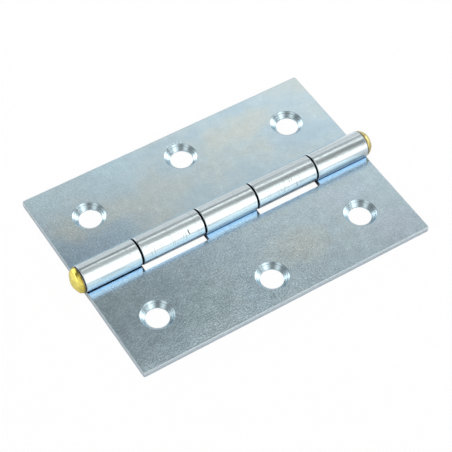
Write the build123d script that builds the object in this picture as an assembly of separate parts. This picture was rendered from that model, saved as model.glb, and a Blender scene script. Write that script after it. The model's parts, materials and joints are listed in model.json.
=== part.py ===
from build123d import *
import os
from math import asin, degrees, radians, tan

# Steel butt hinge with rolled knuckles and a headed brass pin, lying open and flat.
# X runs along the pin, Y across the two leaves, and Z up out of the countersunk faces.
# The origin is on the mounting plane, straight under the middle of the pin.
# All sizes are in millimetres.

# Leaves
LENGTH = 75.0
LEAF_REACH = 27.25        # from the pin's axis to a leaf's long edge
SHEET = 1.5               # steel that both leaves are stamped from
CORNER_ROUND = 0.4        # at the two free corners of a leaf, seen from above
EDGE_ROUND = 0.2          # where the punch rolled the upper edges over

# Pin
PIN_DIAMETER = 3.5
PIN_PLAY = 0.05           # room round the pin in the knuckles, on the radius
HEAD_DIAMETER = 6.3
HEAD_HEIGHT = 2.25
HEAD_RIM_ROUND = 0.25     # where a head turns under, next to the barrel

# Knuckles
END_KNUCKLE = 14.0        # the first and the last, on the three-knuckle leaf
EVEN_KNUCKLE = 15.8       # the second and the fourth, on the two-knuckle leaf
KNUCKLE_GAP = 0.45        # between neighbours
KNUCKLE_ROUND = 0.15      # outer edge of each knuckle's ends
NOTCH_ROOM = 0.93         # from the barrel to the edge of the notch that it turns in
SEAM = 0.1                # between a rolled end and the leaf that it closes on
OPEN_SEAM = 0.3           # the same on the first knuckle, which stands a little open

# Screw holes, three in each leaf
HOLE_DIAMETER = 5.4
SINK_DIAMETER = 7.8
SINK_ANGLE = 90.0
OUTER_HOLE_REACH = 15.7   # from the pin's axis to the two outer holes
MIDDLE_HOLE_REACH = 20.0  # from the pin's axis to the middle hole
HOLE_STEP = 26.9          # along the leaf, from the middle hole to an outer one
HOLE_OFFSET = 0.4         # the pattern of holes sits this far off the leaf's middle
DRIFT_ALONG = 0.25        # from a countersink to the hole pierced in it, along the pin,
DRIFT_ACROSS = -0.1       # and across it, on the two-knuckle leaf, which was pierced a little off

BORE_RADIUS = PIN_DIAMETER / 2 + PIN_PLAY
BARREL_RADIUS = BORE_RADIUS + SHEET
AXIS_HEIGHT = BARREL_RADIUS
NOTCH_REACH = BARREL_RADIUS + NOTCH_ROOM
OVERCUT = 1.0             # how far a cutting tool runs past the face that it cuts
SAME = 0.001              # two places closer than this are one


def knuckle_spans():
    """Where each of the five knuckles starts and ends along the pin."""
    centre_knuckle = LENGTH - 2 * END_KNUCKLE - 2 * EVEN_KNUCKLE - 4 * KNUCKLE_GAP
    spans = []
    start = -LENGTH / 2
    for length in (END_KNUCKLE, EVEN_KNUCKLE, centre_knuckle, EVEN_KNUCKLE, END_KNUCKLE):
        spans.append((start, start + length))
        start += length + KNUCKLE_GAP
    return spans


def knuckle(span, seam):
    """One tab of the sheet, rolled up the far side of the pin and back down onto the leaf."""
    start, end = span
    axis = (0, AXIS_HEIGHT)
    turn = 270 + degrees(asin((BORE_RADIUS - seam) / BARREL_RADIUS))
    outside = CenterArc(axis, BARREL_RADIUS, -90, turn)
    inside = CenterArc(axis, BORE_RADIUS, -90, turn)
    section = make_face(
        [
            Line((-NOTCH_REACH, 0), (0, 0)),
            outside,
            Line(outside @ 1, inside @ 1),
            inside,
            Line((0, SHEET), (-NOTCH_REACH, SHEET)),
            Line((-NOTCH_REACH, SHEET), (-NOTCH_REACH, 0)),
        ]
    )
    return extrude(Plane.YZ.offset(start) * section, end - start)


def plate():
    """The flat of a leaf, from the notches out to its long edge."""
    width = LEAF_REACH - NOTCH_REACH
    flat = Pos(0, -NOTCH_REACH - width / 2, SHEET / 2) * Box(LENGTH, width, SHEET)
    free_corners = flat.edges().filter_by(Axis.Z).group_by(Axis.Y)[0]
    return fillet(free_corners, CORNER_ROUND)


def hole_places():
    """Centres of a leaf's three holes: the middle one stands further from the pin."""
    return [
        (-HOLE_OFFSET - HOLE_STEP, -OUTER_HOLE_REACH),
        (-HOLE_OFFSET, -MIDDLE_HOLE_REACH),
        (-HOLE_OFFSET + HOLE_STEP, -OUTER_HOLE_REACH),
    ]


def screw_hole(drift):
    """What is taken away for one screw: a cone for its head, and a hole that may stand off it."""
    sink_radius = SINK_DIAMETER / 2
    tip_depth = sink_radius / tan(radians(SINK_ANGLE / 2))
    cone = Cone(0, sink_radius, tip_depth, align=(Align.CENTER, Align.CENTER, Align.MAX))
    mouth = Cylinder(sink_radius, OVERCUT, align=(Align.CENTER, Align.CENTER, Align.MIN))
    drill = Cylinder(HOLE_DIAMETER / 2, 2 * (SHEET + OVERCUT))
    along, across = drift
    return Pos(0, 0, SHEET) * (cone + mouth + Pos(along, across, 0) * drill)


def leaf(spans, seams, drift):
    """A leaf on the -Y side: flat, knuckles, softened edges and screw holes."""
    body = plate()
    for span, seam in zip(spans, seams):
        body += knuckle(span, seam)
    body = fillet(upper_rim(body), EDGE_ROUND)
    body = fillet(knuckle_rims(body), KNUCKLE_ROUND)
    for x, y in hole_places():
        body -= Pos(x, y, 0) * screw_hole(drift)
    return body


def upper_rim(body):
    """The upper edges of the leaf's long side, its free corners and its two ends."""
    top = body.edges().filter_by(lambda e: abs(e.center().Z - SHEET) < SAME)
    return top.filter_by(
        lambda e: e.center().Y < -NOTCH_REACH - SAME
        or (abs(abs(e.center().X) - LENGTH / 2) < SAME and e.center().Y < -BARREL_RADIUS)
    )


def knuckle_rims(body):
    """The outer circles at the ends of the knuckles."""
    return body.edges().filter_by(
        lambda e: e.geom_type == GeomType.CIRCLE and abs(e.radius - BARREL_RADIUS) < SAME
    )


def pin():
    """The brass pin: a plain shank with a domed head closed over each end of the barrel."""
    seat = LENGTH / 2
    shank = PIN_DIAMETER / 2
    head = HEAD_DIAMETER / 2
    rim = HEAD_RIM_ROUND
    middle = (seat + rim, 0)
    dome = EllipticalCenterArc(middle, head, HEAD_HEIGHT - rim, -90, rotation=90, arc_size=90)
    under = CenterArc((seat + rim, head - rim), rim, 90, 90)
    outline = [
        dome,
        under,
        Line(under @ 1, (seat, shank)),
        Line((seat, shank), (0, shank)),
        Line((0, shank), (0, 0)),
        Line((0, 0), dome @ 0),
    ]
    half = revolve(make_face(outline), Axis.X)
    whole = half + Rot(0, 0, 180) * half
    return Pos(0, 0, AXIS_HEIGHT) * whole


def save(shape, name, label):
    shape.label = label
    export_step(shape, f"parts/{name}.step")


os.makedirs("parts", exist_ok=True)
first, second, third, fourth, fifth = knuckle_spans()
three_knuckle_leaf = leaf([first, third, fifth], [OPEN_SEAM, SEAM, SEAM], (0, 0))
drift_before_turning = (-DRIFT_ALONG, -DRIFT_ACROSS)
two_knuckle_leaf = Rot(0, 0, 180) * leaf([second, fourth], [SEAM, SEAM], drift_before_turning)
save(three_knuckle_leaf, "three_knuckle_leaf", "three-knuckle leaf")
save(two_knuckle_leaf, "two_knuckle_leaf", "two-knuckle leaf")
save(pin(), "hinge_pin", "hinge pin")
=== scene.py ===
# The looks of a steel butt hinge: two zinc plated leaves with rolled knuckles, and a brass pin.
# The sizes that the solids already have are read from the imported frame, so that the two agree.

import json
from math import asin, cos, pi, radians, sin, tau

import bmesh
import bpy
from bpy.props import FloatProperty, FloatVectorProperty, PointerProperty
from mathutils import Matrix, Vector, noise


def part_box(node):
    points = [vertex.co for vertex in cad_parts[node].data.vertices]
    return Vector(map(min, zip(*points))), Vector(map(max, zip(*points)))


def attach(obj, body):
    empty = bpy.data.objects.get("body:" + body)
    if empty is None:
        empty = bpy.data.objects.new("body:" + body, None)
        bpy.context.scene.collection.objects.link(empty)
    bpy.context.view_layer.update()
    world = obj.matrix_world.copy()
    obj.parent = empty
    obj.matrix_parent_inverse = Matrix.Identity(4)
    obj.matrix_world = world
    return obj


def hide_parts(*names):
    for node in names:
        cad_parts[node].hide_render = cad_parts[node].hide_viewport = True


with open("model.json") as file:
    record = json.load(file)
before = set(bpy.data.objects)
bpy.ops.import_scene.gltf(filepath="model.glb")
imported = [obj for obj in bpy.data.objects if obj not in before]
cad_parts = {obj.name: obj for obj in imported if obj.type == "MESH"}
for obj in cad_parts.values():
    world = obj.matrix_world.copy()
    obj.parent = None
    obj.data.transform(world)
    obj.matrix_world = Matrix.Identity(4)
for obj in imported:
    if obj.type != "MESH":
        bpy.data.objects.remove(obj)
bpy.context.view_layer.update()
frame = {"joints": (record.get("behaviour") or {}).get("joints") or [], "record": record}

bl_info = {
    "name": "Butt hinge",
    "version": (1, 0, 0),
    "blender": (4, 5, 0),
    "location": "3D View > Sidebar > Hinge",
    "description": "A steel butt hinge with rolled knuckles, countersunk holes and a headed pin",
    "category": "Add Mesh",
}

MM = 0.001
WELD = 0.002 * MM           # vertices closer than this are one


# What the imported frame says


def mount(name):
    """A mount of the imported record."""
    return next(m for m in frame["record"]["mounts"] if m["name"] == name)


def span(node, axis):
    """How long a solid is along one axis."""
    low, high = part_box(node)
    return high[axis] - low[axis]


LEAF_LOW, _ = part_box("three_knuckle_leaf")
AXIS_HEIGHT = frame["joints"][0]["pos_m"][2]
OUTER_SCREWS = mount("screws_three_knuckle_leaf")
MIDDLE_SCREW = mount("middle_screw_three_knuckle_leaf")
DRIFTED_SCREWS = mount("screws_two_knuckle_leaf")


# Sizes and colours that a user may change

def distance(name, description, default):
    return FloatProperty(
        name=name, description=description, default=default, min=0.0,
        unit="LENGTH", subtype="DISTANCE", precision=5,
    )


def angle(name, description, default):
    return FloatProperty(
        name=name, description=description, default=radians(default),
        unit="ROTATION", subtype="ANGLE",
    )


def colour(name, description, default):
    return FloatVectorProperty(
        name=name, description=description, default=default, size=3, min=0.0, max=1.0,
        subtype="COLOR",
    )


def share(name, description, default):
    return FloatProperty(
        name=name, description=description, default=default, min=0.0, max=1.0, subtype="FACTOR"
    )


def brightness(name, description, default):
    return FloatProperty(name=name, description=description, default=default, min=0.0, soft_max=4.0)


class HingeSizes(bpy.types.PropertyGroup):
    """Sizes of the leaves, the knuckles, the screw holes and the pin."""

    length: distance("Length", "Length of the leaves along the pin", span("three_knuckle_leaf", 0))
    reach: distance("Reach", "From the pin's axis to a leaf's long edge", -LEAF_LOW.y)
    sheet: distance("Sheet", "Thickness of the steel", 1.5 * MM)
    axis_height: distance("Axis height", "Pin's axis above the mounting plane", AXIS_HEIGHT)
    corner_round: distance("Corner round", "At a leaf's free corners, from above", 0.4 * MM)
    edge_round: distance("Edge round", "Where the punch rolled the upper edges over", 0.2 * MM)
    edge_wander: distance("Edge wander", "How far a sheared edge wanders inwards", 0.06 * MM)
    end_knuckle: distance("End knuckle", "Length of the first and fifth knuckle", 14.0 * MM)
    even_knuckle: distance("Even knuckle", "Length of the second and fourth knuckle", 15.8 * MM)
    knuckle_gap: distance("Knuckle gap", "Between neighbouring knuckles", 0.45 * MM)
    knuckle_round: distance("Knuckle round", "Outer edge of a knuckle's ends", 0.15 * MM)
    tip_round: distance("Tip round", "Outer edge of the rolled end, at the seam", 0.08 * MM)
    notch_room: distance("Notch room", "From the barrel to the edge of a notch", 0.93 * MM)
    seam: distance("Seam", "Between a rolled end and its leaf", 0.1 * MM)
    open_seam: distance("Open seam", "The same on the first knuckle", 0.3 * MM)
    unroundness: distance("Unroundness", "How far a rolled knuckle leaves a true circle", 0.06 * MM)
    hole_diameter: distance(
        "Hole", "Diameter of a screw hole", 2 * OUTER_SCREWS["dims"]["hole_r_mm"] * MM
    )
    sink_diameter: distance("Countersink", "Diameter of a countersink's mouth", 7.8 * MM)
    sink_angle: angle("Countersink angle", "Full angle of the countersink", 90.0)
    sink_lip: distance("Countersink lip", "Worn edge of a countersink's mouth", 0.05 * MM)
    chatter: distance("Chatter", "How far the cutter swung out in a countersink", 0.006 * MM)
    outer_reach: distance(
        "Outer holes", "From the axis to the outer holes", -OUTER_SCREWS["pos_m"][1]
    )
    middle_reach: distance(
        "Middle hole", "From the axis to the middle hole", -MIDDLE_SCREW["pos_m"][1]
    )
    hole_step: distance(
        "Hole step", "Along a leaf, from hole to hole", OUTER_SCREWS["dims"]["spacing_x_mm"] / 2 * MM
    )
    hole_offset: distance(
        "Hole offset", "From a leaf's middle to its holes' pattern", -OUTER_SCREWS["pos_m"][0]
    )
    drift: FloatVectorProperty(
        name="Drift",
        description="From a countersink to the hole pierced in it, on the two-knuckle leaf",
        default=(
            DRIFTED_SCREWS["pos_m"][0] + OUTER_SCREWS["pos_m"][0],
            DRIFTED_SCREWS["pos_m"][1] + OUTER_SCREWS["pos_m"][1],
        ),
        size=2, unit="LENGTH", subtype="TRANSLATION",
    )
    pin_diameter: distance("Pin", "Diameter of the pin's shank", 3.5 * MM)
    pin_play: distance("Pin play", "Room round the pin in a knuckle", 0.05 * MM)
    head_diameter: distance("Head", "Diameter of a pin head", span("hinge_pin", 2))
    head_height: distance(
        "Head height", "Height of a pin head",
        (span("hinge_pin", 0) - span("three_knuckle_leaf", 0)) / 2,
    )
    head_rim: distance("Head rim", "Where a head turns under", 0.25 * MM)
    hammering: distance("Hammering", "Depth of the hammer's flats on a head", 0.2 * MM)


class HingeColours(bpy.types.PropertyGroup):
    """Colours and roughness of the metals, the painted shade between the knuckles, and the floor's
    colour.
    """

    zinc: colour("Zinc", "Plating on the leaves and knuckles", (0.52, 0.65, 0.715))
    sheared: colour("Sheared steel", "Plating on the cut edges", (0.62, 0.70, 0.77))
    brass: colour("Brass", "The pin", (0.86, 0.76, 0.2))
    # Painted shade: the nearly black colour that stands in for the shadow between the knuckles and
    # under the heads
    gap: colour("Gap", "Oil-dark metal between the knuckles", (0.045, 0.06, 0.11))
    floor: colour("Floor", "Floor that the hinge lies on", (0.9, 0.9, 0.9))
    leaf_roughness: share("Leaf roughness", "Roughness of the flat plating", 0.2)
    barrel_roughness: share("Barrel roughness", "Roughness of the rolled plating", 0.16)


class HingeStudio(bpy.types.PropertyGroup):
    """The camera, and the light round the hinge."""

    target: FloatVectorProperty(
        name="Target", description="Point that the camera looks at",
        default=(-1.021 * MM, -2.042 * MM, 0.0), size=3, unit="LENGTH", subtype="TRANSLATION",
    )
    away: distance("Distance", "From the camera to its target", 352.72 * MM)
    azimuth: angle("Azimuth", "Camera round the hinge, from the front towards the right", -34.138)
    elevation: angle("Elevation", "Camera above the floor", 52.063)
    roll: angle("Roll", "Camera about its own line of sight", 2.109)
    lens: FloatProperty(
        name="Lens", description="Focal length on a 36 mm sensor", default=123.86, min=1.0,
        unit="CAMERA", subtype="DISTANCE_CAMERA",
    )
    bright_side: brightness("Bright side", "The room in front of the hinge", 2.1)
    dim_side: brightness("Dim side", "The room behind and above", 0.25)
    wall: brightness("Wall", "The pale wall close behind the hinge", 0.80)
    strip: brightness("Strip", "The long lamp overhead", 1.85)


# Node trees written as plain sums

class Wire:
    """An output of a node. A sum or product written with it puts the maths nodes in place."""

    def __init__(self, net, socket):
        self.net = net
        self.socket = socket

    def __add__(self, other):
        return self.net.sum("ADD", self, other)

    def __radd__(self, other):
        return self.net.sum("ADD", other, self)

    def __sub__(self, other):
        return self.net.sum("SUBTRACT", self, other)

    def __rsub__(self, other):
        return self.net.sum("SUBTRACT", other, self)

    def __mul__(self, other):
        return self.net.sum("MULTIPLY", self, other)

    def __rmul__(self, other):
        return self.net.sum("MULTIPLY", other, self)

    def __truediv__(self, other):
        return self.net.sum("DIVIDE", self, other)

    def __rtruediv__(self, other):
        return self.net.sum("DIVIDE", other, self)

    def __neg__(self):
        return self.net.sum("MULTIPLY", self, -1.0)

    def __abs__(self):
        return self.net.sum("ABSOLUTE", self)

    def __gt__(self, other):
        return self.net.sum("GREATER_THAN", self, other)

    def __lt__(self, other):
        return self.net.sum("LESS_THAN", self, other)

    def sine(self):
        return self.net.sum("SINE", self)

    def cosine(self):
        return self.net.sum("COSINE", self)

    def least(self, other):
        return self.net.sum("MINIMUM", self, other)

    def most(self, other):
        return self.net.sum("MAXIMUM", self, other)

    def clamp(self):
        return self.most(0.0).least(1.0)

    def ramp(self, start, end):
        """0 at start, 1 at end and smooth between; start may be the larger."""
        t = ((self - start) / (end - start)).clamp()
        return t * t * (3.0 - 2.0 * t)

    def parts(self):
        """The three numbers of a vector."""
        split = self.net.add("ShaderNodeSeparateXYZ", {}, {"Vector": self}, None)
        return [Wire(self.net, s) for s in split.outputs]


class Net:
    """A node tree, and the one way that nodes are put into it."""

    def __init__(self, tree):
        self.tree = tree

    def add(self, kind, settings, values, out=0):
        """A new node with its settings, then the values or links of its sockets."""
        node = self.tree.nodes.new(kind)
        for name, value in settings.items():
            if name == "captured":
                node.capture_items.new("VECTOR", value)
            else:
                setattr(node, name, value)
        for key, value in values.items():
            socket = pick(node.inputs, key)
            if isinstance(value, Wire):
                self.tree.links.new(value.socket, socket)
            else:
                socket.default_value = value
        return node if out is None else Wire(self, pick(node.outputs, out))

    def sum(self, operation, *terms):
        """One Math node, or a Vector Math node where a term is a vector."""
        flat = not any(is_vector(t) for t in terms)
        kind = "ShaderNodeMath" if flat else "ShaderNodeVectorMath"
        return self.add(kind, {"operation": operation}, dict(enumerate(terms)))

    def vector(self, x, y, z):
        return self.add("ShaderNodeCombineXYZ", {}, {"X": x, "Y": y, "Z": z})

    def scaled(self, vector, factor):
        return self.add(
            "ShaderNodeVectorMath", {"operation": "SCALE"}, {"Vector": vector, "Scale": factor}
        )

    def length_of(self, vector):
        return self.add("ShaderNodeVectorMath", {"operation": "LENGTH"}, {0: vector}, "Value")

    def along(self, vector, direction):
        """How far a vector reaches along a direction."""
        return self.add(
            "ShaderNodeVectorMath", {"operation": "DOT_PRODUCT"}, {0: vector, 1: direction}, "Value"
        )

    def mix(self, factor, a, b):
        """A colour between two."""
        pair = {"A": opaque(a), "B": opaque(b), "Factor": factor}
        return self.add("ShaderNodeMix", {"data_type": "RGBA"}, pair, "Result")

    def noise(self, vector, scale, detail, roughness, out="Fac"):
        """Soft noise, scale being its spots to the metre, or to one of a vector's own steps."""
        values = {"Vector": vector, "Scale": scale, "Detail": detail, "Roughness": roughness}
        return self.add("ShaderNodeTexNoise", {}, values, out)


def is_vector(term):
    return isinstance(term, tuple) or (isinstance(term, Wire) and term.socket.type == "VECTOR")


def opaque(value):
    """A colour as the four numbers that a colour socket takes."""
    return value if isinstance(value, Wire) else (*value, 1.0)


def pick(sockets, key):
    """A socket by its place, or by its name among those in use."""
    if isinstance(key, int):
        return sockets[key]
    return next(s for s in sockets if s.enabled and s.name == key)


def shape_tree(name, inputs):
    """A geometry tree with named inputs: the net, and a wire for each input."""
    tree = bpy.data.node_groups.new(name, "GeometryNodeTree")
    tree.is_modifier = True
    tree.interface.new_socket("Geometry", in_out="OUTPUT", socket_type="NodeSocketGeometry")
    for label, kind in inputs.items():
        tree.interface.new_socket(label, in_out="INPUT", socket_type="NodeSocket" + kind)
    net = Net(tree)
    source = tree.nodes.new("NodeGroupInput")
    return net, {label: Wire(net, pick(source.outputs, label)) for label in inputs}


def end_tree(net, shape, finishes):
    """Realize Instances and Set Material, which every shape tree ends in."""
    shape = net.add("GeometryNodeRealizeInstances", {}, {"Geometry": shape})
    for material, where in finishes:
        values = {"Geometry": shape, "Material": material}
        if where is not None:
            values["Selection"] = where
        shape = net.add("GeometryNodeSetMaterial", {}, values)
    last = net.tree.nodes.new("NodeGroupOutput")
    net.tree.links.new(shape.socket, last.inputs[0])


def grow(tree, values):
    """The plain mesh that a shape tree makes of these values."""
    holder = bpy.data.objects.new(tree.name, bpy.data.meshes.new(tree.name))
    bpy.context.collection.objects.link(holder)
    modifier = holder.modifiers.new(tree.name, "NODES")
    modifier.node_group = tree
    for item in tree.interface.items_tree:
        if item.in_out == "INPUT":
            modifier[item.identifier] = values[item.name]
    seen = holder.evaluated_get(bpy.context.evaluated_depsgraph_get())
    mesh = bpy.data.meshes.new_from_object(seen)
    empty = holder.data
    bpy.data.objects.remove(holder)
    bpy.data.meshes.remove(empty)
    return mesh


# Shape trees

RIM_STEPS = 4               # faces round the edge of a knuckle's end
TIP_STEPS = 3               # faces round the edge of a rolled end
TAPER = radians(12.0)       # turn over which a knuckle's rim round grows from its root
RIPPLES_ALONG = 60.0        # out-of-round ripples to the metre, along a knuckle
RIPPLES_AROUND = 1.1        # and to one radius, round it
OUTERMOST = 0.499           # past this lie only the end faces of a block 1 across


def rolled_knuckle_tree():
    """A tab of sheet, rolled from the mounting plane up the far side and down to the seam."""
    net, w = shape_tree(
        "rolled knuckle",
        {
            "Start": "Float", "End": "Float", "Bore Radius": "Float", "Sheet": "Float",
            "Axis Height": "Float", "Turn": "Float", "Rim Round": "Float", "Tip Round": "Float",
            "Unroundness": "Float", "Around": "Int", "Along": "Int",
            "Plating": "Material", "Sheared": "Material",
        },
    )
    block = net.add(
        "GeometryNodeMeshCube", {},
        {
            "Size": (1.0, 1.0, 1.0),
            "Vertices X": w["Along"], "Vertices Y": w["Around"], "Vertices Z": 2,
        },
        "Mesh",
    )
    place = net.add("GeometryNodeInputPosition", {}, {})
    kept = net.add(
        "GeometryNodeCaptureAttribute", {"domain": "FACE", "captured": "Block"},
        {"Geometry": block, "Block": place}, None,
    )
    shape = Wire(net, kept.outputs["Geometry"])
    across, around, _ = Wire(net, kept.outputs["Block"]).parts()
    shape = net.add(
        "GeometryNodeDeleteGeometry", {"domain": "FACE"},
        {"Geometry": shape, "Selection": around < -OUTERMOST},
    )

    x, y, z = place.parts()
    length = w["End"] - w["Start"]
    station = (x + 0.5) * (w["Along"] - 1.0)
    rim_left = (station / RIM_STEPS).clamp() * (pi / 2)
    rim_right = ((w["Along"] - 1.0 - station) / RIM_STEPS).clamp() * (pi / 2)
    middle = ((station - RIM_STEPS) / (w["Along"] - 1.0 - 2 * RIM_STEPS)).clamp()
    middle = 0.5 - 0.5 * (middle * pi).cosine()

    turn_station = (y + 0.5) * (w["Around"] - 1.0)
    rolled = (turn_station / (w["Around"] - 1.0 - TIP_STEPS)).clamp()
    tip = ((w["Around"] - 1.0 - turn_station) / TIP_STEPS).clamp() * (pi / 2)
    barrel = w["Bore Radius"] + w["Sheet"]
    tip_turn = w["Tip Round"] / barrel
    turned = rolled * (w["Turn"] - tip_turn) + tip_turn * tip.cosine()

    rim = w["Rim Round"] * turned.ramp(0.0, TAPER)
    along = w["Start"] + rim * (1.0 - rim_left.cosine() + rim_right.cosine())
    along = along + middle * (length - 2.0 * rim)
    drop = rim * (2.0 - rim_left.sine() - rim_right.sine()) + w["Tip Round"] * (1.0 - tip.sine())

    heading = turned - pi / 2
    around_y, around_z = heading.cosine() * RIPPLES_AROUND, heading.sine() * RIPPLES_AROUND
    ripples = net.noise(net.vector(along * RIPPLES_ALONG, around_y, around_z), 1.0, 2.0, 0.45)
    drop = drop + w["Unroundness"] * ripples * turned.ramp(0.0, TAPER)
    outward = z + 0.5
    radius = w["Bore Radius"] + outward * (w["Sheet"] - drop)
    shape = net.add(
        "GeometryNodeSetPosition", {},
        {
            "Geometry": shape,
            "Position": net.vector(
                along, radius * heading.cosine(), w["Axis Height"] + radius * heading.sine()
            ),
        },
    )
    cut = abs(across).most(around) > OUTERMOST
    end_tree(net, shape, [(w["Plating"], None), (w["Sheared"], cut)])
    return net.tree


CONE_ROWS = 22              # faces down a countersink
LIP_ROWS = 3                # faces round its mouth
CHATTER_WAVES = 5           # half waves that the cutter's chatter leaves down it


def screw_holes_tree():
    """The walls of a leaf's three holes: pierced hole, cone and worn lip, one ring on each point."""
    net, w = shape_tree(
        "screw holes",
        {
            "Hole Radius": "Float", "Sink Radius": "Float", "Slope": "Float", "Lip": "Float",
            "Sheet": "Float", "Drift": "Vector", "Hole Step": "Float", "Hole Offset": "Float",
            "Outer Reach": "Float", "Middle Reach": "Float", "Around": "Int", "Chatter": "Float",
            "Turned": "Material",
        },
    )
    rows = 1 + CONE_ROWS + LIP_ROWS
    tube = net.add(
        "GeometryNodeMeshCylinder", {"fill_type": "NONE"},
        {"Vertices": w["Around"], "Side Segments": rows, "Radius": 1.0, "Depth": 1.0}, "Mesh",
    )
    x, y, z = net.add("GeometryNodeInputPosition", {}, {}).parts()
    row = (z + 0.5) * rows
    pierced = row.clamp()
    coned = ((row - 1.0) / CONE_ROWS).clamp()
    lipped = ((row - 1.0 - CONE_ROWS) / LIP_ROWS).clamp()

    heading = net.vector(x, y, 0.0)
    drilled = w["Drift"] + net.scaled(heading, w["Hole Radius"])
    foot_depth = (w["Sink Radius"] - net.length_of(drilled)) * w["Slope"]
    foot = drilled + net.vector(0.0, 0.0, w["Sheet"] - foot_depth)
    corner = net.scaled(heading, w["Sink Radius"]) + net.vector(0.0, 0.0, w["Sheet"])
    lip_foot = corner - net.scaled(heading, w["Lip"]) - net.vector(0.0, 0.0, w["Lip"] * w["Slope"])
    mouth = corner + net.scaled(heading, w["Lip"])

    place = net.scaled(drilled, 1.0 - pierced) + net.scaled(foot, pierced)
    place = net.scaled(place, 1.0 - coned) + net.scaled(lip_foot, coned)
    rest = 1.0 - lipped
    place = net.scaled(place, rest * rest) + net.scaled(corner, 2.0 * lipped * rest)
    place = place + net.scaled(mouth, lipped * lipped)
    swell = (coned * (pi * CHATTER_WAVES)).sine() * (coned * pi).sine().most(0.0) * w["Chatter"]
    place = place + net.scaled(heading, swell)
    ring = net.add("GeometryNodeSetPosition", {}, {"Geometry": tube, "Position": place})

    points = net.add(
        "GeometryNodeMeshLine", {},
        {"Count": 3, "Start Location": (-1.0, 0.0, 0.0), "Offset": (1.0, 0.0, 0.0)},
    )
    step = net.add("GeometryNodeInputPosition", {}, {}).parts()[0]
    hole_y = w["Middle Reach"] + (w["Outer Reach"] - w["Middle Reach"]) * abs(step)
    points = net.add(
        "GeometryNodeSetPosition", {},
        {
            "Geometry": points,
            "Position": net.vector(step * w["Hole Step"] - w["Hole Offset"], -hole_y, 0.0),
        },
    )
    rings = net.add("GeometryNodeInstanceOnPoints", {}, {"Points": points, "Instance": ring})
    end_tree(net, rings, [(w["Turned"], None)])
    return net.tree


AROUND_PIN = 96
SHANK_ROWS = 8
SEAT_ROWS = 2
HEAD_RIM_ROWS = 5
DOME_ROWS = 26
HAMMER_SPREAD_ALONG = 1.5   # a head's height and radius in the hammer's pattern
HAMMER_SPREAD_ACROSS = 1.6
HAMMER_FLATS = 1.25         # flats to one step of that pattern
HAMMER_EDGE = 0.12          # how softly one flat meets the next
HAMMER_START = 0.35         # turn from the rim over which the hammering comes in
HAMMER_SEED = 3.0


def headed_pin_tree():
    """A plain shank with a hammered dome on each end, turned about the pin's axis."""
    net, w = shape_tree(
        "headed pin",
        {
            "Seat": "Float", "Shank Radius": "Float", "Head Radius": "Float", "Head Height": "Float",
            "Rim Round": "Float", "Hammering": "Float", "Axis Height": "Float", "Around": "Int",
            "Seed": "Float", "Brass": "Material",
        },
    )
    half = SHANK_ROWS + SEAT_ROWS + HEAD_RIM_ROWS + DOME_ROWS
    tube = net.add(
        "GeometryNodeMeshCylinder", {"fill_type": "NONE"},
        {"Vertices": w["Around"], "Side Segments": 2 * half, "Radius": 1.0, "Depth": 2.0}, "Mesh",
    )
    y, z, x = net.add("GeometryNodeInputPosition", {}, {}).parts()
    row = abs(x) * half
    side = 1.0 - 2.0 * (x < 0.0)
    shank = (row / SHANK_ROWS).clamp()
    seat = ((row - SHANK_ROWS) / SEAT_ROWS).clamp()
    rim = ((row - SHANK_ROWS - SEAT_ROWS) / HEAD_RIM_ROWS).clamp() * (pi / 2)
    dome = ((row - half + DOME_ROWS) / DOME_ROWS).clamp() * (pi / 2)

    round_off = w["Rim Round"]
    under = w["Head Radius"] - round_off - w["Shank Radius"]
    radius = w["Shank Radius"] + under * seat + round_off * rim.sine()
    radius = radius - w["Head Radius"] * (1.0 - dome.cosine())
    along = w["Seat"] * shank + round_off * (1.0 - rim.cosine())
    along = along + (w["Head Height"] - round_off) * dome.sine()

    # A hammer leaves shallow flats: the dome is pushed in where the pattern says, never out
    spot = net.vector(
        side * dome.sine() * HAMMER_SPREAD_ALONG + w["Seed"],
        y * dome.cosine() * HAMMER_SPREAD_ACROSS, z * dome.cosine() * HAMMER_SPREAD_ACROSS,
    )
    flats = net.add(
        "ShaderNodeTexVoronoi", {"feature": "SMOOTH_F1"},
        {"Vector": spot, "Scale": HAMMER_FLATS, "Smoothness": HAMMER_EDGE}, "Distance",
    )
    dents = (1.0 - flats).clamp() * dome.ramp(0.0, HAMMER_START) * w["Hammering"]
    shrink = 1.0 - dents / w["Head Radius"]
    radius = radius * shrink
    along = along - dents * dome.sine()

    shape = net.add(
        "GeometryNodeSetPosition", {},
        {
            "Geometry": tube,
            "Position": net.vector(side * along, y * radius, w["Axis Height"] + z * radius),
        },
    )
    shape = net.add("GeometryNodeMergeByDistance", {}, {"Geometry": shape, "Distance": WELD})
    end_tree(net, shape, [(w["Brass"], None)])
    return net.tree


# Materials

def metal(name):
    """A new metal with its net and its shader, ready for colour, roughness and bump."""
    material = bpy.data.materials.new(name)
    material.use_nodes = True
    net = Net(material.node_tree)
    shader = material.node_tree.nodes["Principled BSDF"]
    shader.inputs["Metallic"].default_value = 1.0
    place = net.add("ShaderNodeTexCoord", {}, {}, "Object")
    return material, net, shader, place


def dress(net, shader, colour, roughness, height):
    """Links colour, roughness and a height in metres to the shader."""
    values = {"Height": height, "Distance": 1.0, "Strength": 1.0}
    bump = net.add("ShaderNodeBump", {}, values, "Normal")
    for wire, name in ((colour, "Base Color"), (roughness, "Roughness"), (bump, "Normal")):
        net.tree.links.new(wire.socket, shader.inputs[name])


def tinted(colour, red, green, blue):
    """A colour with its three parts raised or lowered."""
    return tuple(min(1.0, c * t) for c, t in zip(colour, (red, green, blue)))
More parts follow.
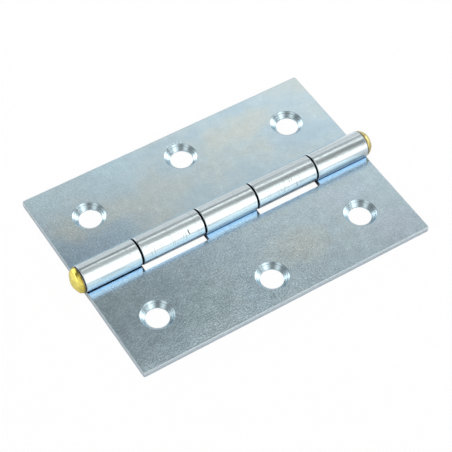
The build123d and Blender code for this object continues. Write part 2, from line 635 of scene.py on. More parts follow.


# Blooms in the passivation: centre, reach along and across (mm), tint, strength. The two painted
# shade blooms and the pale bloom at the far left of the back leaf are painted shade and painted
# light at the leaves' left end.
BLOOMS = (
    (17.0, 20.5, 11.0, 5.0, "straw", 0.75), (-15.0, 25.0, 12.0, 7.0, "pale", 0.85),
    (-7.0, 13.0, 8.0, 5.0, "straw", 0.45), (28.0, 9.5, 9.0, 4.0, "blue", 0.6),
    (0.5, 25.0, 9.0, 3.5, "blue", 0.7), (-20.0, 8.0, 9.0, 4.0, "blue", 0.45),
    (10.0, -16.0, 8.0, 6.0, "straw", 0.55), (-32.0, -10.0, 7.0, 6.0, "green", 0.5),
    (-19.0, -19.0, 9.0, 6.0, "green", 0.5), (31.0, -22.0, 9.0, 6.0, "violet", 0.6),
    (-4.0, -9.0, 12.0, 5.0, "blue", 0.4), (26.0, -9.0, 8.0, 4.0, "violet", 0.35),
    # Painted shade: these two blooms darken the left end of the leaves
    (-37.0, 7.0, 20.0, 8.0, "smoky", 0.9), (-34.0, -15.0, 27.0, 17.0, "sooty", 0.9),
    # Painted light: the pale bloom at the far left of the back leaf
    (-32.5, 14.0, 4.5, 4.0, "straw", 0.5), (-35.0, 24.5, 11.0, 8.0, "pale", 0.85),
)

# The zinc's tints, and those of the painted shade, reflection and backlight, as shares of its red,
# green and blue
ZINC_TINTS = {
    "straw": (1.20, 1.02, 0.86), "blue": (0.86, 0.92, 0.98), "green": (0.95, 1.02, 0.92),
    "violet": (1.08, 0.99, 1.06), "smoky": (0.74, 0.82, 0.92), "sooty": (0.78, 0.81, 0.83),
    "pale": (1.03, 1.08, 1.10), "rubbed": (0.92, 0.84, 0.84), "crease": (0.83, 0.92, 1.08),
    "rolled": (1.08, 1.0, 0.99), "crown": (1.055, 0.962, 0.925), "far side": (1.6, 1.5, 1.4),
}

# How fine each pattern is: its spots to the metre, the same every way or along x, y and z
CLOUDS = 60.0
RAGGED_EDGES = 110.0
SCRATCHES = 230.0
MOTTLE = 420.0
STAINS = 520.0
HAMMERED_GRAIN = 1600.0
GRAIN = 2600.0
TURNED_GRAIN = 3000.0
SPARKLE = 4200.0
DRAWN = (260.0, 5200.0, 5200.0)
SPECKS = (1500.0, 4200.0, 4200.0)
TICKS = (2600.0, 0.0, 220.0)
TICK_GROUPS = (700.0, 0.0, 500.0)
TORN = (1500.0, 1500.0, 600.0)
RINGS = (0.0, 0.0, 9000.0)

RAGGED = 9.0 * MM           # how far the ragged edges of the blooms wander
KNUCKLE_PAIR = 30.0 * MM    # two knuckles along the pin
FIRST_KNUCKLE_END = -23.3 * MM
STRUCK_AT = (-16.5 * MM, 14.5 * MM)    # middles of the two stretches with tick marks
NICK_AT = (-11.1 * MM, 5.3 * MM)       # along the pin, and above the mounting plane
NICK_BENDS = 2600.0         # radians to the metre, down the nick
SCORED_AT = -9.0 * MM       # the ring that is scored round the second knuckle


def zinc_plating(sizes, colours):
    """Passivated zinc: clouded and grained on the flats, drawn into streaks along the barrel."""
    material, net, shader, place = metal("zinc_plating")
    tints = {name: tinted(colours.zinc, *shares) for name, shares in ZINC_TINTS.items()}
    x, y, z = place.parts()
    flat = z.ramp(1.15 * sizes.sheet, 1.02 * sizes.sheet)
    raised = 1.0 - flat
    back = y.ramp(-4.0 * MM, 8.0 * MM)
    grain = net.noise(place, GRAIN, 3.0, 0.7)
    mottle = net.noise(place, MOTTLE, 3.0, 0.6)
    drawn = net.noise(place * DRAWN, 1.0, 3.0, 0.6)
    specks = net.noise(place * SPECKS, 1.0, 2.0, 0.5).ramp(0.60, 0.74)
    marks = barrel_marks(net, place, drawn)
    rub = rubbed_edges(sizes, x, y, flat, grain)

    tone = passivation(net, place, back, colours.zinc, tints)
    tone = barrel_tones(sizes, net, place, back, raised, tone, tints)
    tone = net.mix(rub * 0.6, tone, tints["rubbed"])

    shade = 0.98 + flat * flat_shade(net, place, back, grain, mottle)
    shade = shade + raised * (0.32 * (drawn - 0.5) - 0.3 * specks)
    # Painted dark reflection line along the crown
    shade = shade - 0.17 * crown_line(sizes, x, y, z) * (0.3 + 1.4 * drawn).clamp()
    shade = shade * (1.0 - raised * marks)

    rough = colours.leaf_roughness + (colours.barrel_roughness - colours.leaf_roughness) * raised
    rough = rough + 0.10 * flat * (mottle - 0.5) + 0.12 * raised * specks + 0.22 * rub
    height = flat * grain * (0.016 * MM) + flat * mottle * (0.03 * MM)
    height = height + raised * (drawn * (0.009 * MM) - (specks + 2.0 * marks) * (0.004 * MM))
    dress(net, shader, net.scaled(tone, shade), rough, height)
    return material


def passivation(net, place, back, zinc, tints):
    """Clouds of colour, then blooms with ragged edges, three of them painted shade and painted light
    at the left end; straw shows most on the back leaf.
    """
    drift = net.noise(place, RAGGED_EDGES, 3.0, 0.6, "Color")
    ragged = place + net.scaled(drift - (0.5, 0.5, 0.5), RAGGED)
    u, v, _ = ragged.parts()
    cloud = net.noise(place, CLOUDS, 3.0, 0.55)
    tone = net.mix(cloud.ramp(0.44, 0.66) * (0.1 + 0.42 * back), zinc, tints["straw"])
    tone = net.mix(cloud.ramp(0.50, 0.32) * 0.5, tone, tints["blue"])
    for at_x, at_y, along, across, tint, strength in BLOOMS:
        off_x = (u - at_x * MM) / (along * MM)
        off_y = (v - at_y * MM) / (across * MM)
        bloom = (1.0 - off_x * off_x - off_y * off_y).clamp() * strength
        tone = net.mix(bloom, tone, tints[tint])
    return tone


def barrel_tones(sizes, net, place, back, raised, tone, tints):
    """Painted blue shade and reflection where the sheet turns up into the barrel, warmer over the
    crown, and painted backlight that makes the barrel pale beyond it.
    """
    _, y, z = place.parts()
    low = z.ramp(0.95 * sizes.axis_height, 0.6 * sizes.axis_height)
    # Painted shade and bluish reflection in the crease where the sheet turns up into the barrel
    crease = abs(y).ramp(5.9 * MM, 4.8 * MM) * low * (1.0 - 0.5 * back)
    tone = net.mix(crease * 0.8, tone, tints["crease"])
    tone = net.mix(raised * (1.0 - crease), tone, tints["rolled"])
    tone = net.mix(crown(sizes, z), tone, tints["crown"])
    # Painted backlight: the barrel's far side made paler
    return net.mix(raised * y.ramp(1.8 * MM, 2.5 * MM), tone, tints["far side"])


def crown(sizes, z):
    """The upper part of the barrel."""
    return z.ramp(1.3 * sizes.axis_height, 1.75 * sizes.axis_height)


def crown_line(sizes, x, y, z):
    """A painted dark reflection line along the crown, further back on the first, second and fourth
    knuckle.
    """
    wave = ((x + 0.75 * KNUCKLE_PAIR) * (tau / KNUCKLE_PAIR)).sine()
    alternate = (8.0 * wave).most(-1.0).least(1.0)
    line = 0.14 * MM + 0.2 * MM * alternate + 0.28 * MM * (x < FIRST_KNUCKLE_END)
    return abs(y - line).ramp(0.34 * MM, 0.06 * MM) * crown(sizes, z)


def flat_shade(net, place, back, grain, mottle):
    """Grain, sparkle and fine scratches on the flats: coarse at the left, calmer at the back."""
    x = place.parts()[0]
    sparkle = net.noise(place, SPARKLE, 1.0, 0.5).ramp(0.70, 0.76)
    hair = abs(net.noise(place, SCRATCHES, 1.0, 0.4) - 0.5).ramp(0.009, 0.0)
    hair = hair * net.noise(place, MOTTLE, 1.0, 0.5).ramp(0.66, 0.72)
    calm = 0.72 * back * (1.0 - 0.75 * x.ramp(-8.0 * MM, -30.0 * MM))
    coarse = 1.0 - calm - 0.38 * x.ramp(5.0 * MM, 22.0 * MM) * (1.0 - back)
    grained = coarse * (grain - 0.5 + 0.3 * sparkle)
    return grained + (0.26 - 0.1 * back) * (mottle - 0.5) + 0.12 * hair


def barrel_marks(net, place, drawn):
    """What rolling left on the barrel: ticks and a nick on its front, and a scored ring."""
    x, y, z = place.parts()
    front = y < 0.0
    first, second = (abs(x - at).ramp(6.5 * MM, 3.0 * MM) for at in STRUCK_AT)
    ticks = net.noise(place * TICKS, 1.0, 1.0, 0.5).ramp(0.52, 0.66) * first.most(second)
    ticks = ticks * net.noise(place * TICK_GROUPS, 1.0, 1.0, 0.5).ramp(0.38, 0.52)
    ticks = ticks * z.ramp(3.4 * MM, 4.4 * MM) * z.ramp(6.1 * MM, 5.4 * MM) * front
    nick_x, nick_z = NICK_AT
    bent = x - nick_x + 0.25 * MM * (z * NICK_BENDS).sine()
    nick = abs(bent).ramp(0.22 * MM, 0.08 * MM) * abs(z - nick_z).ramp(0.55 * MM, 0.3 * MM) * front
    ring = abs(x - SCORED_AT).ramp(0.12 * MM, 0.02 * MM) * (0.3 + 0.7 * drawn)
    return (0.5 * ticks + 0.88 * nick + 0.3 * ring).clamp()


def rubbed_edges(sizes, x, y, flat, grain):
    """Where the free edges of the leaves are rubbed dull."""
    rub = abs(y).ramp(sizes.reach - 0.45 * MM, sizes.reach - 0.12 * MM)
    rub = rub.most(abs(x).ramp(sizes.length / 2 - 0.4 * MM, sizes.length / 2 - 0.1 * MM) * flat)
    return rub * (0.6 + 0.4 * grain.ramp(0.35, 0.6))


def sheared_plating(sizes, colours):
    """Plated cut edges: a burnished band above a rougher tear, and painted shade, nearly black, on
    the knuckles' ends between knuckles.
    """
    material, net, shader, place = metal("sheared_plating")
    x, y, z = place.parts()
    torn = net.noise(place * TORN, 1.0, 3.0, 0.6)
    below = z.ramp(0.62 * sizes.sheet, 0.45 * sizes.sheet)
    tone = net.mix(below * 0.6, colours.sheared, tinted(colours.sheared, 0.72, 0.74, 0.77))
    barrel = sizes.pin_diameter / 2 + sizes.pin_play + sizes.sheet
    # Painted shade on the knuckles' end faces inside the gaps between them
    knuckle_end_shade = abs(y).ramp(1.12 * barrel, 0.98 * barrel)
    knuckle_end_shade = knuckle_end_shade * abs(x).ramp(0.499 * sizes.length, 0.497 * sizes.length)
    tone = net.mix(knuckle_end_shade, tone, colours.gap)
    shade = 1.0 + 0.3 * (torn - 0.5)
    dress(net, shader, net.scaled(tone, shade), 0.3 + 0.2 * below, torn * below * (0.01 * MM))
    return material


def turned_plating(sizes, colours):
    """Plated countersinks, ringed by the cutter and dull in its chatter, with painted shade just
    inside the mouth.
    """
    material, net, shader, place = metal("turned_plating")
    grain = net.noise(place, TURNED_GRAIN, 2.0, 0.5)
    rings = net.noise(place * RINGS, 1.0, 2.0, 0.6)
    down = sizes.sheet - place.parts()[2]
    groove = abs(down - 0.42 * MM).ramp(0.10 * MM, 0.03 * MM)
    # Painted shade: a thin dark line just inside the mouth
    mouth = down.ramp(0.16 * MM, 0.04 * MM)
    low, high = (tinted(colours.zinc, *s) for s in ((0.98, 1.02, 1.06), (1.14, 1.16, 1.18)))
    tone = net.mix(grain, low, high)
    shade = 1.0 + 0.35 * (rings - 0.5) - 0.35 * groove - 0.22 * mouth
    height = down * 0.2 + rings * (0.004 * MM) - groove * (0.006 * MM)
    dress(net, shader, net.scaled(tone, shade), 0.20 + 0.12 * grain, height)
    return material


def pin_brass(sizes, colours):
    """Brass: hammered and bright on the crowns, olive at the rims, duller on the second head, with
    painted shade where the heads turn under.
    """
    material, net, shader, place = metal("pin_brass")
    x, y, z = place.parts()
    second = x > 0.0
    grain = net.noise(place, HAMMERED_GRAIN, 3.0, 0.6)
    stain = net.noise(place, STAINS, 2.0, 0.55)
    olive, dull, dark = (
        tinted(colours.brass, *s) for s in ((0.72, 0.68, 0.5), (0.56, 0.56, 1.0), (0.3, 0.26, 0.2))
    )
    radius = sizes.head_diameter / 2
    off = net.length_of(net.vector(0.0, y, z - sizes.axis_height))
    rim = off.ramp(0.62 * radius, 0.98 * radius)
    tone = net.mix((rim * 0.75 + 0.5 * (stain - 0.45)).clamp(), colours.brass, olive)
    tone = net.mix(0.8 * second, tone, dull)

    # Painted shade where a head turns under, and painted shade as dark as in the gaps inside the
    # barrel
    seat = sizes.length / 2 + sizes.head_rim
    ring = abs(x).ramp(seat + 0.55 * MM, seat + 0.1 * MM) * (0.85 - 0.6 * second)
    tone = net.mix(ring, tone, dark)
    seat_shade = (abs(x) + 0.12 * MM * second).ramp(seat + 0.14 * MM, seat - 0.06 * MM)
    tone = net.mix(seat_shade, tone, colours.gap)
    shade = 1.0 + 0.3 * (grain - 0.5)
    height = grain * (0.012 * MM) + stain * (0.05 * MM)
    dress(net, shader, net.scaled(tone, shade), 0.17 + 0.2 * stain, height)
    return material


def finish(make, sizes, colours):
    """A material, made once and shared by the pieces that have it."""
    known = bpy.data.materials.get(make.__name__)
    return known or make(sizes, colours)


# Leaves

AROUND_KNUCKLE = 150
ALONG_KNUCKLE = 30
AROUND_HOLE = 96
EDGE_STEP = 1.2 * MM        # between two stations along a leaf's edge
EDGE_STEPS = 4              # faces over a rounded edge
CORNER_STEPS = 6
WANDER_SCALE = 350.0        # waves to the metre along a sheared edge
SHARP = radians(38.0)       # faces that meet at more than this keep a sharp edge


def knuckle_spans(sizes):
    """Where each of the five knuckles starts and ends along the pin."""
    end, even = sizes.end_knuckle, sizes.even_knuckle
    centre = sizes.length - 2 * end - 2 * even - 4 * sizes.knuckle_gap
    spans = []
    start = -sizes.length / 2
    for long in (end, even, centre, even, end):
        spans.append((start, start + long))
        start += long + sizes.knuckle_gap
    return spans


def leaf_edges(sizes, tabs):
    """The leaf's edge as open runs of (place, inward normal, edge round), from tab to tab."""
    half = sizes.length / 2
    notch = -(sizes.axis_height + sizes.notch_room)
    low = -sizes.reach
    corner = sizes.corner_round
    full = sizes.edge_round
    right, left, up = Vector((1, 0)), Vector((-1, 0)), Vector((0, 1))

    def run(start, end, inward, first_round, last_round):
        """Stations from start up to, but without, end."""
        a, b = Vector(start), Vector(end)
        count = max(1, round((b - a).length / EDGE_STEP))
        return [
            (a.lerp(b, i / count), inward, first_round + (last_round - first_round) * i / count)
            for i in range(count)
        ]

    def turn(centre, first):
        """The stations round a free corner."""
        stations = []
        for i in range(CORNER_STEPS):
            a = first + i / CORNER_STEPS * pi / 2
            out = Vector((cos(a), sin(a)))
            stations.append((Vector(centre) + corner * out, -out, full))
        return stations

    first, last = tabs[0][0], tabs[-1][1]
    around = []
    if abs(first + half) < WELD:
        around += run((-half, 0), (-half, notch), right, 0.0, full)
    else:
        around += run((first, 0), (first, notch), right, 0.0, 0.0)
        around += run((first, notch), (-half, notch), -up, 0.0, 0.0)
    around += run((-half, notch), (-half, low + corner), right, full, full)
    around += turn((-half + corner, low + corner), pi)
    around += run((-half + corner, low), (half - corner, low), up, full, full)
    around += turn((half - corner, low + corner), 1.5 * pi)
    around += run((half, low + corner), (half, notch), left, full, full)
    if abs(last - half) < WELD:
        around += run((half, notch), (half, 0), left, full, 0.0)
        around.append((Vector((half, 0)), left, 0.0))
    else:
        around.append((Vector((half, notch)), left, full))
        around += run((half, notch), (last, notch), -up, 0.0, 0.0)[1:]
        around += run((last, notch), (last, 0), left, 0.0, 0.0)
        around.append((Vector((last, 0)), left, 0.0))
    runs = [around]
    for (_, before), (after, _) in zip(tabs, tabs[1:]):
        between = run((after, 0), (after, notch), right, 0.0, 0.0)
        between += run((after, notch), (before, notch), -up, 0.0, 0.0)
        between += run((before, notch), (before, 0), left, 0.0, 0.0)
        between.append((Vector((before, 0)), left, 0.0))
        runs.append(between)
    return runs


def wall(bm, run, sizes, sheared):
    """The cut wall and the rounded upper edge over one run of stations."""
    columns = []
    for place, inward, edge in run:
        wander = 0.0
        if edge == sizes.edge_round:
            wave = noise.noise(Vector((*place, 0.0)) * WANDER_SCALE)
            wander = sizes.edge_wander * (0.5 + 0.5 * wave)
        base = place + inward * wander
        column = [bm.verts.new((*base, 0.0))]
        for step in range(EDGE_STEPS + 1):
            a = step / EDGE_STEPS * pi / 2
            spot = base + inward * edge * (1 - cos(a))
            column.append(bm.verts.new((*spot, sizes.sheet - edge * (1 - sin(a)))))
        columns.append(column)
    for one, two in zip(columns, columns[1:]):
        for row in range(EDGE_STEPS + 1):
            face = bm.faces.new((one[row], two[row], two[row + 1], one[row + 1]))
            face.material_index = sheared if row == 0 else 0


def shut(bm, height):
    """Fills the flat face at one height, holes left open."""
    rim = [
        e for e in bm.edges if e.is_boundary and all(abs(v.co.z - height) < WELD for v in e.verts)
    ]
    bmesh.ops.triangle_fill(bm, edges=rim, use_beauty=True)


def soften(thing):
    """Smooth shading with sharp edges kept and flat faces truly flat."""
    thing.data.shade_smooth()
    thing.data.set_sharp_from_angle(angle=SHARP)
    weights = thing.modifiers.new("even", "WEIGHTED_NORMAL")
    weights.keep_sharp = True
    seen = thing.evaluated_get(bpy.context.evaluated_depsgraph_get())
    mesh = bpy.data.meshes.new_from_object(seen)
    thing.modifiers.remove(weights)
    rough = thing.data
    thing.data = mesh
    bpy.data.meshes.remove(rough)
    mesh.name = thing.name


def add_leaf(context, name, tabs, seams, drift, body, node, turned):
    """One leaf: edges, knuckles and hole walls welded into one closed sheet."""
    sizes, colours = context.scene.hinge_sizes, context.scene.hinge_colours
    materials = [finish(m, sizes, colours) for m in (zinc_plating, sheared_plating, turned_plating)]
    plating, sheared, rings = materials
    bore = sizes.pin_diameter / 2 + sizes.pin_play
    parts = []
    tree = rolled_knuckle_tree()
    for (start, end), seam in zip(tabs, seams):
        parts.append(grow(tree, {
            "Start": start, "End": end, "Bore Radius": bore, "Sheet": sizes.sheet,
            "Axis Height": sizes.axis_height, "Rim Round": sizes.knuckle_round,
            "Turn": 1.5 * pi + asin((bore - seam) / (bore + sizes.sheet)),
            "Tip Round": sizes.tip_round, "Unroundness": sizes.unroundness,
            "Around": AROUND_KNUCKLE, "Along": ALONG_KNUCKLE, "Plating": plating, "Sheared": sheared,
        }))
    parts.append(grow(screw_holes_tree(), {
        "Hole Radius": sizes.hole_diameter / 2, "Sink Radius": sizes.sink_diameter / 2,
        "Slope": cos(sizes.sink_angle / 2) / sin(sizes.sink_angle / 2), "Lip": sizes.sink_lip,
        "Sheet": sizes.sheet, "Drift": (*drift, 0.0), "Hole Step": sizes.hole_step,
        "Hole Offset": sizes.hole_offset, "Outer Reach": sizes.outer_reach,
        "Middle Reach": sizes.middle_reach, "Around": AROUND_HOLE, "Chatter": sizes.chatter,
        "Turned": rings,
    }))
    bm = bmesh.new()
    for part in parts:
        places = [materials.index(m) if m else 0 for m in part.materials]
        for face in part.polygons:
            face.material_index = places[face.material_index]
        bm.from_mesh(part)
        bpy.data.meshes.remove(part)
    for run in leaf_edges(sizes, tabs):
        wall(bm, run, sizes, materials.index(sheared))
    bmesh.ops.remove_doubles(bm, verts=bm.verts, dist=WELD)
    shut(bm, 0.0)
    shut(bm, sizes.sheet)
    bmesh.ops.recalc_face_normals(bm, faces=bm.faces)
    if turned:
        bmesh.ops.rotate(bm, verts=bm.verts, cent=(0, 0, 0), matrix=Matrix.Rotation(pi, 3, "Z"))
    check_closed(bm, name)
    mesh = bpy.data.meshes.new(name)
    for material in materials:
        mesh.materials.append(material)
    bm.to_mesh(mesh)
    bm.free()
    add_piece(context, name, mesh, body, node)


def check_closed(bm, name):
    """A piece that isn't one closed surface stops the script."""
    loose = [e for e in bm.edges if not e.is_manifold]
    if loose:
        raise RuntimeError(f"{name} has {len(loose)} open or crossing edges")


def add_piece(context, name, mesh, body, node):
    """Puts a finished mesh in the scene, on its body and in place of its solid."""
    thing = bpy.data.objects.new(name, mesh)
    context.scene.collection.objects.link(thing)
    soften(thing)
    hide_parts(node)
    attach(thing, body)


class HINGE_OT_three_knuckle_leaf(bpy.types.Operator):
    """Add the leaf that carries the first, third and fifth knuckle"""

    bl_idname = "hinge.three_knuckle_leaf"
    bl_label = "Three-knuckle leaf"

    def execute(self, context):
        sizes = context.scene.hinge_sizes
        spans = knuckle_spans(sizes)
        seams = [sizes.open_seam, sizes.seam, sizes.seam]
        add_leaf(
            context, "three_knuckle_sheet", spans[0::2], seams, (0.0, 0.0),
            "three_knuckle_side", "three_knuckle_leaf", False,
        )
        return {"FINISHED"}


class HINGE_OT_two_knuckle_leaf(bpy.types.Operator):
    """Add the leaf that carries the second and fourth knuckle"""

    bl_idname = "hinge.two_knuckle_leaf"
    bl_label = "Two-knuckle leaf"

    def execute(self, context):
        sizes = context.scene.hinge_sizes
        spans = [(-end, -start) for start, end in knuckle_spans(sizes)[::-1]]
        add_leaf(
            context, "two_knuckle_sheet", spans[1::2], [sizes.seam] * 2,
            (-sizes.drift[0], -sizes.drift[1]), "two_knuckle_side", "two_knuckle_leaf", True,
        )
        return {"FINISHED"}


class HINGE_OT_headed_pin(bpy.types.Operator):
    """Add the brass pin with its two hammered heads"""

    bl_idname = "hinge.headed_pin"
    bl_label = "Headed pin"

    def execute(self, context):
        sizes, colours = context.scene.hinge_sizes, context.scene.hinge_colours
        mesh = grow(headed_pin_tree(), {
            "Seat": sizes.length / 2, "Shank Radius": sizes.pin_diameter / 2,
            "Head Radius": sizes.head_diameter / 2, "Head Height": sizes.head_height,
            "Rim Round": sizes.head_rim, "Hammering": sizes.hammering,
            "Axis Height": sizes.axis_height, "Around": AROUND_PIN, "Seed": HAMMER_SEED,
            "Brass": finish(pin_brass, sizes, colours),
        })
        bm = bmesh.new()
        bm.from_mesh(mesh)
        bmesh.ops.recalc_face_normals(bm, faces=bm.faces)
        check_closed(bm, "headed_pin")
        bm.to_mesh(mesh)
        bm.free()
        add_piece(context, "headed_pin", mesh, "three_knuckle_side", "hinge_pin")
        return {"FINISHED"}


# Studio

SENSOR = 36.0               # millimetres across, the format that the lens is given for


def add_camera(context, studio):
    """The camera that took the photograph, as worked out from the hinge's corners and holes."""
    a, e = studio.azimuth, studio.elevation
    ahead = Vector((-sin(a) * cos(e), cos(a) * cos(e), -sin(e)))
    right = Vector((cos(a), sin(a), 0.0))
    up = right.cross(ahead)
    x = cos(studio.roll) * right + sin(studio.roll) * up
    y = cos(studio.roll) * up - sin(studio.roll) * right
    lens = bpy.data.cameras.new("camera")
    lens.sensor_width = SENSOR
    lens.lens = studio.lens
    lens.clip_start = 0.01
    lens.clip_end = 10.0
    camera = bpy.data.objects.new("camera", lens)
    pose = Matrix((x, y, -ahead)).transposed().to_4x4()
    pose.translation = Vector(studio.target) - studio.away * ahead
    camera.matrix_world = pose
    context.scene.collection.objects.link(camera)
    context.scene.camera = camera


FLOOR_REACH = 1.5           # metres from its middle to each edge
FLOOR_DROP = 0.02 * MM      # keeps it clear of the hinge's underside
NEAR_FLOOR = 12.0 * MM      # metal closer than this mirrors the floor with its shadow
ON_FLOOR = 0.1 * MM         # and metal that lies on it, as close as this, mirrors white again
GIVEN_UP = 0.97             # share of the floor that gives way, to white or to what lies behind


def add_floor(context, colours):
    """A pale floor: white in the metal, and clear to the camera but for a very faint shadow."""
    bm = bmesh.new()
    bmesh.ops.create_grid(bm, x_segments=1, y_segments=1, size=FLOOR_REACH)
    mesh = bpy.data.meshes.new("floor")
    bm.to_mesh(mesh)
    bm.free()
    material = bpy.data.materials.new("floor")
    material.use_nodes = True
    net = Net(material.node_tree)
    net.tree.nodes.clear()
    path = net.add("ShaderNodeLightPath", {}, {}, None)
    seen, mirrored, run = (
        Wire(net, path.outputs[name]) for name in ("Is Camera Ray", "Is Glossy Ray", "Ray Length")
    )
    matt = net.add("ShaderNodeBsdfDiffuse", {}, {"Color": opaque(colours.floor)})
    white = net.add("ShaderNodeEmission", {}, {"Color": (1, 1, 1, 1), "Strength": 1.0})
    clear = net.add("ShaderNodeBsdfTransparent", {}, {})
    whitened = mirrored * (run > NEAR_FLOOR).most(run < ON_FLOOR) * GIVEN_UP
    mixed = net.add("ShaderNodeMixShader", {}, {"Fac": whitened, 1: matt, 2: white})
    mixed = net.add("ShaderNodeMixShader", {}, {"Fac": seen * GIVEN_UP, 1: mixed, 2: clear})
    net.add("ShaderNodeOutputMaterial", {}, {"Surface": mixed}, None)
    mesh.materials.append(material)
    floor = bpy.data.objects.new("floor", mesh)
    floor.location = (0.0, 0.0, -FLOOR_DROP)
    context.scene.collection.objects.link(floor)


def add_lamp(context, name, centre, along, up, size, bright):
    """A white rectangular lamp with the given brightness, which shines along up x along."""
    lamp = bpy.data.lights.new(name, "AREA")
    lamp.shape = "RECTANGLE"
    lamp.size, lamp.size_y = size
    lamp.energy = bright * size[0] * size[1] * pi
    along, up = Vector(along).normalized(), Vector(up).normalized()
    pose = Matrix((along, up, along.cross(up))).transposed().to_4x4()
    pose.translation = centre
    holder = bpy.data.objects.new(name, lamp)
    holder.matrix_world = pose
    context.scene.collection.objects.link(holder)


WALL_HEADING = radians(56.0)    # where the wall stands, round the hinge from +X towards +Y
WALL_AWAY = 0.105               # metres from the hinge's middle
WALL_WIDTH = 0.45

# How high each band of the wall reaches, in metres, and its share of the wall's brightness
WALL_BANDS = (
    (0.05, 0.86), (0.094, 1.0), (0.103, 0.82), (0.118, 0.66),
    (0.142, 0.61), (0.162, 0.38), (0.182, 0.07),
)


def add_lamps(context, studio):
    """A pale wall close behind the hinge, fading upwards, as one lamp above another."""
    behind = Vector((cos(WALL_HEADING), sin(WALL_HEADING), 0.0)) * WALL_AWAY
    beside = Vector((-sin(WALL_HEADING), cos(WALL_HEADING), 0.0))
    low = 0.0
    for high, bright in WALL_BANDS:
        add_lamp(
            context, "wall", behind + Vector((0, 0, (low + high) / 2)), beside, (0, 0, 1),
            (WALL_WIDTH, high - low), studio.wall * bright,
        )
        low = high


# Directions from the hinge that divide the room
BRIGHT_END = (0.9, 0.5, -0.1)       # the bright side stops where a direction leans to this
BRIGHT_BACK = (-0.3, 1.0, -0.3)     # or to this
STRIP_ACROSS = (0.9, 0.44, 0.0)
STRIP_ALONG = (-0.44, 0.9, 0.0)
SIDE_LAMPS = (0.83, -0.56, 0.0)     # one at each end of this
CAMERA_HEADING = radians(-124.0)    # round the hinge, from +X towards +Y
CAMERA_HEIGHT = radians(52.0)

# Brightnesses in the room that go with those of HingeStudio
BRIGHT_LEFT = 1.1           # left end of the bright side
GLOW_START = 1.62           # a glow beside the strip, before it falls off to the right
GLOW_FALL = 3.1
GLOW_MOST = 0.75
HORIZON = 0.22              # low walls on the dim side
BRIGHT_HORIZON = 1.5        # and on the bright side
SIDE_LAMP = 1.9
CAMERA_DARK = 0.85          # share of the light that the camera takes away
DIM_TINT = (1.01, 1.0, 0.97)
BRIGHT_TINT = (1.03, 1.0, 0.95)
WHITE = (1.0, 1.0, 1.0)


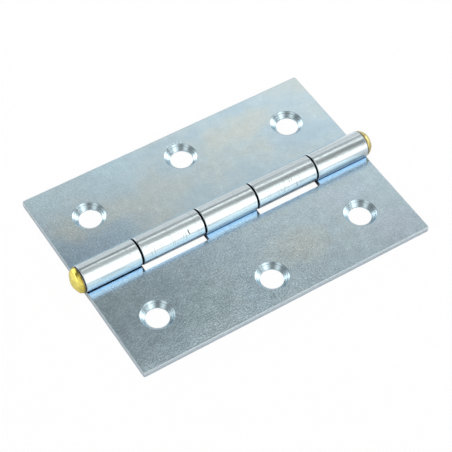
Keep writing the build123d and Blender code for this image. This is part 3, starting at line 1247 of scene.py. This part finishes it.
def add_world(context, studio):
    """The room: a bright side in front, a strip overhead, and the dark of the camera."""
    world = bpy.data.worlds.new("room")
    world.use_nodes = True
    net = Net(world.node_tree)
    net.tree.nodes.clear()
    seen = net.add("ShaderNodeLightPath", {}, {}, "Is Camera Ray")
    way = net.add("ShaderNodeTexCoord", {}, {}, "Generated")
    x, _, z = way.parts()
    near = net.along(way, BRIGHT_END).ramp(0.045, -0.045)
    near = near * net.along(way, BRIGHT_BACK).ramp(0.05, -0.05)

    # The ceiling is dim, with the strip across it and a glow beside the strip
    over = z.most(0.05)
    rise = net.along(way, STRIP_ACROSS) / over
    strip = abs(rise - 0.50).ramp(0.098, 0.055)
    strip = strip * (net.along(way, STRIP_ALONG) / over).ramp(0.345, 0.295)
    glow = (GLOW_START - GLOW_FALL * x).most(studio.dim_side).least(GLOW_MOST)
    glow = (glow - studio.dim_side) * rise.ramp(0.50, 0.38) * x.ramp(0.0, 0.2)
    ceiling = studio.dim_side + glow
    ceiling = ceiling + (studio.strip - ceiling) * strip

    # The bright side, and the camera's dark in it
    front = BRIGHT_LEFT + (studio.bright_side - BRIGHT_LEFT) * x.ramp(0.08, 0.22)
    light = ceiling + (front - ceiling) * near
    lens = (
        cos(CAMERA_HEADING) * cos(CAMERA_HEIGHT), sin(CAMERA_HEADING) * cos(CAMERA_HEIGHT),
        sin(CAMERA_HEIGHT),
    )
    facing = net.along(way, lens).ramp(cos(radians(20.0)), cos(radians(11.0)))
    light = light * (1.0 - CAMERA_DARK * facing)

    # The low walls, with a lamp at each side
    horizon = HORIZON + (BRIGHT_HORIZON - HORIZON) * near
    light = horizon + (light - horizon) * z.ramp(0.03, 0.13)
    aside = abs(net.along(way, SIDE_LAMPS)).ramp(0.58, 0.68) * z.ramp(0.50, 0.28) * (1.0 - near)
    light = light + SIDE_LAMP * aside

    # The camera itself sees plain white
    light = seen + (1.0 - seen) * light
    tint = net.mix(seen, net.mix(near, DIM_TINT, BRIGHT_TINT), WHITE)
    room = net.add("ShaderNodeBackground", {}, {"Color": tint, "Strength": light})
    net.add("ShaderNodeOutputWorld", {}, {"Surface": room}, None)
    context.scene.world = world


class HINGE_OT_studio(bpy.types.Operator):
    """Set up the camera, the floor and the light"""

    bl_idname = "hinge.studio"
    bl_label = "Studio"

    def execute(self, context):
        add_camera(context, context.scene.hinge_studio)
        add_floor(context, context.scene.hinge_colours)
        add_lamps(context, context.scene.hinge_studio)
        add_world(context, context.scene.hinge_studio)
        context.scene.view_settings.view_transform = "Standard"
        return {"FINISHED"}


class HINGE_PT_parts(bpy.types.Panel):
    """The hinge's pieces and sizes"""

    bl_idname = "HINGE_PT_parts"
    bl_label = "Butt hinge"
    bl_space_type = "VIEW_3D"
    bl_region_type = "UI"
    bl_category = "Hinge"

    def draw(self, context):
        for operator in OPERATORS:
            self.layout.operator(operator.bl_idname)
        for group in ("hinge_sizes", "hinge_colours", "hinge_studio"):
            values = getattr(context.scene, group)
            box = self.layout.box()
            for name in values.__annotations__:
                box.prop(values, name)


GROUPS = {"hinge_sizes": HingeSizes, "hinge_colours": HingeColours, "hinge_studio": HingeStudio}
OPERATORS = (
    HINGE_OT_three_knuckle_leaf, HINGE_OT_two_knuckle_leaf, HINGE_OT_headed_pin, HINGE_OT_studio,
)


def register():
    for name, group in GROUPS.items():
        bpy.utils.register_class(group)
        setattr(bpy.types.Scene, name, PointerProperty(type=group))
    for kind in (*OPERATORS, HINGE_PT_parts):
        bpy.utils.register_class(kind)


def unregister():
    for kind in (HINGE_PT_parts, *reversed(OPERATORS)):
        bpy.utils.unregister_class(kind)
    for name, group in reversed(GROUPS.items()):
        delattr(bpy.types.Scene, name)
        bpy.utils.unregister_class(group)


def main():
    """Makes the pieces and the studio."""
    register()
    bpy.ops.hinge.three_knuckle_leaf()
    bpy.ops.hinge.two_knuckle_leaf()
    bpy.ops.hinge.headed_pin()
    bpy.ops.hinge.studio()


if __name__ == "__main__":
    main()
